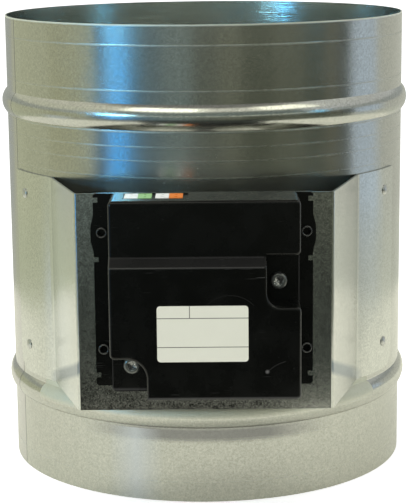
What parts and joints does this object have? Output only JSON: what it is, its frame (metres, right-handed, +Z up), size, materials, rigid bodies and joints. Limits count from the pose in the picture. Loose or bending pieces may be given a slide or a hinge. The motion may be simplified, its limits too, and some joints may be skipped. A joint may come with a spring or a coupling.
{
  "type": "motorised round duct damper",
  "caption": "Round galvanised duct damper with a sealed butterfly blade, turned by a geared electric actuator on a folded bracket.",
  "frame": {"origin": "centre of the lower rim of the duct", "axes": "+Z up along the duct, -Y towards the actuator, blade shaft along Y"},
  "size_m": [0.2042, 0.2533, 0.224],
  "materials": {
    "galvanised_sheet": "zinc-coated, fine spangle, satin",
    "zinc_fastener": "zinc-plated, satin",
    "shaft_steel": "turned, satin",
    "seal_rubber": "matt",
    "black_housing": "fine moulded grain, semi-matt",
    "black_trim": "plain moulded",
    "black_screw": "black-finished steel",
    "label_paper": "bare satin label",
    "plug_white": "plain moulded",
    "plug_green": "plain moulded",
    "plug_orange": "plain moulded",
    "board_green": "coated board",
    "capacitor_sleeve": "shrunk sleeve",
    "gear_plastic": "plain moulded",
    "pinion_brass": "cut teeth"
  },
  "bodies": {
    "damper_body": {"duct_tube": "galvanised_sheet", "bracket": "galvanised_sheet", "wing_rivets": "zinc_fastener", "front_bushing": "black_trim", "rear_bushing": "black_trim", "plate_bushing": "black_trim", "actuator_base": "black_housing", "actuator_cover": "black_housing", "cover_screw_upper": "black_screw", "cover_screw_lower": "black_screw", "label_plate": "label_paper", "terminal_block": "black_trim", "plug_white_left": "plug_white", "plug_white_right": "plug_white", "plug_green": "plug_green", "plug_orange": "plug_orange", "pin_header": "black_trim", "circuit_board": "board_green", "control_chip": "black_trim", "capacitor": "capacitor_sleeve", "motor_can": "zinc_fastener", "second_gear_axle": "shaft_steel", "first_gear_axle": "shaft_steel", "axle_clips": "shaft_steel"},
    "blade": {"blade_shaft": "shaft_steel", "blade_disc_left": "galvanised_sheet", "blade_disc_right": "galvanised_sheet", "blade_seal": "seal_rubber", "blade_rivets": "zinc_fastener", "shaft_rivets": "zinc_fastener", "shaft_clip": "shaft_steel", "output_gear": "gear_plastic"},
    "second_reduction": {"second_gear": "gear_plastic"},
    "first_reduction": {"first_gear": "gear_plastic"},
    "motor_rotor": {"motor_pinion": "pinion_brass"}
  },
  "joints": [
    {"name": "blade_turn", "type": "hinge", "parent": "damper_body", "child": "blade", "pos_m": [0, 0, 0.112], "axis": [0, 1, 0], "range_deg": [0, 90]},
    {"name": "second_reduction_turn", "type": "hinge", "parent": "damper_body", "child": "second_reduction", "pos_m": [-0.01966, 0, 0.09823], "axis": [0, 1, 0], "range_deg": [-360, 0]},
    {"name": "first_reduction_turn", "type": "hinge", "parent": "damper_body", "child": "first_reduction", "pos_m": [-0.01246, 0, 0.08576], "axis": [0, 1, 0], "range_deg": [0, 1080]},
    {"name": "motor_turn", "type": "hinge", "parent": "damper_body", "child": "motor_rotor", "pos_m": [0.00053, 0, 0.07826], "axis": [0, 1, 0], "range_deg": [-4320, 0]}
  ],
  "couplings": [
    {"joint": "second_reduction_turn", "follows": "blade_turn", "ratio": -4},
    {"joint": "first_reduction_turn", "follows": "blade_turn", "ratio": 12},
    {"joint": "motor_turn", "follows": "blade_turn", "ratio": -48}
  ]
}
